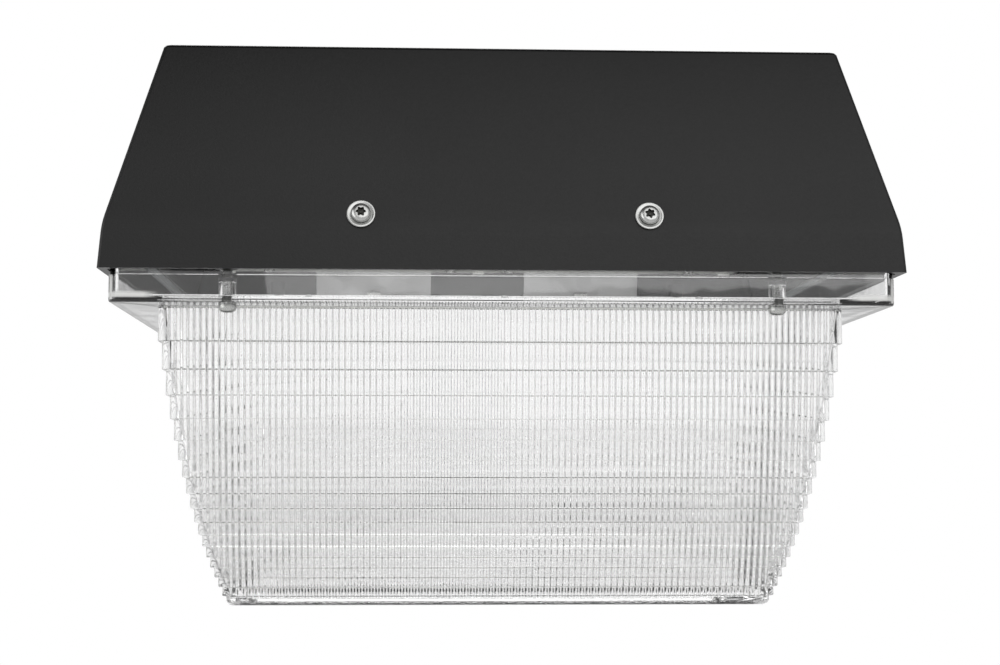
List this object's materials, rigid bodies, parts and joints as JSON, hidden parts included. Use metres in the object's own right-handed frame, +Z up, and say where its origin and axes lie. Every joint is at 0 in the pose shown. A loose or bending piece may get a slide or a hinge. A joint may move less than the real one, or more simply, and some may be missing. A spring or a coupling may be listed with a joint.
{
  "type": "canopy light",
  "caption": "Square ceiling canopy light: sloped cast housing with a clear stepped drop lens, fixed by captive screws, over a tray of light boards.",
  "frame": {"origin": "centre of the conduit entry in the plane of the ceiling face", "axes": "+Z up into the ceiling, -Y to the front as pictured, +X to the right"},
  "size_m": [0.305, 0.3074, 0.2195],
  "materials": {
    "powder_coat": "matte black powder coat on die-cast aluminium",
    "foam_rubber": "matte black",
    "grey_silicone": "satin grey",
    "plated_steel": "bright zinc plate",
    "black_steel": "black oxide",
    "green_steel": "green lacquer",
    "tray_metal": "mill finish sheet",
    "white_enamel": "matte white enamel",
    "solder_mask": "white solder mask",
    "phosphor": "yellow phosphor in silicone",
    "nylon": "natural nylon",
    "dark_plastic": "dark moulded plastic",
    "clear_polycarbonate": "clear moulded polycarbonate, stepped and fluted"
  },
  "bodies": {
    "canopy": {"housing": "powder_coat", "ceiling_gasket": "foam_rubber", "lens_gasket": "grey_silicone", "side_screws": "plated_steel", "side_washers": "plated_steel", "tray_nuts": "plated_steel", "gear_tray": "tray_metal", "reflector": "white_enamel", "reflector_rivets": "white_enamel", "cable_grommet": "foam_rubber", "thermal_pads": "grey_silicone", "led_boards": "solder_mask", "led_chips": "phosphor", "board_screws": "plated_steel", "board_connectors": "nylon", "driver_case": "tray_metal", "driver_cover": "tray_metal", "surge_module": "dark_plastic", "terminal_block": "nylon", "tray_screws": "plated_steel", "earth_screw": "green_steel"},
    "lens": {"lens": "clear_polycarbonate"},
    "screw_front_left": {"lens_screw_front_left": "plated_steel", "retainer_front_left": "black_steel"},
    "screw_front_right": {"lens_screw_front_right": "plated_steel", "retainer_front_right": "black_steel"},
    "screw_back_left": {"lens_screw_back_left": "plated_steel", "retainer_back_left": "black_steel"},
    "screw_back_right": {"lens_screw_back_right": "plated_steel", "retainer_back_right": "black_steel"}
  },
  "joints": [
    {"name": "lens_drop", "type": "slide", "parent": "canopy", "child": "lens", "axis": [0, 0, -1], "range_m": [0, 0.12]},
    {"name": "screw_turn_front_left", "type": "hinge", "parent": "lens", "child": "screw_front_left", "pos_m": [-0.105, -0.13915, -0.1], "axis": [0, 0, 1], "continuous": true},
    {"name": "screw_turn_front_right", "type": "hinge", "parent": "lens", "child": "screw_front_right", "pos_m": [0.105, -0.13915, -0.1], "axis": [0, 0, 1], "continuous": true},
    {"name": "screw_turn_back_left", "type": "hinge", "parent": "lens", "child": "screw_back_left", "pos_m": [-0.105, 0.13915, -0.1], "axis": [0, 0, 1], "continuous": true},
    {"name": "screw_turn_back_right", "type": "hinge", "parent": "lens", "child": "screw_back_right", "pos_m": [0.105, 0.13915, -0.1], "axis": [0, 0, 1], "continuous": true}
  ]
}
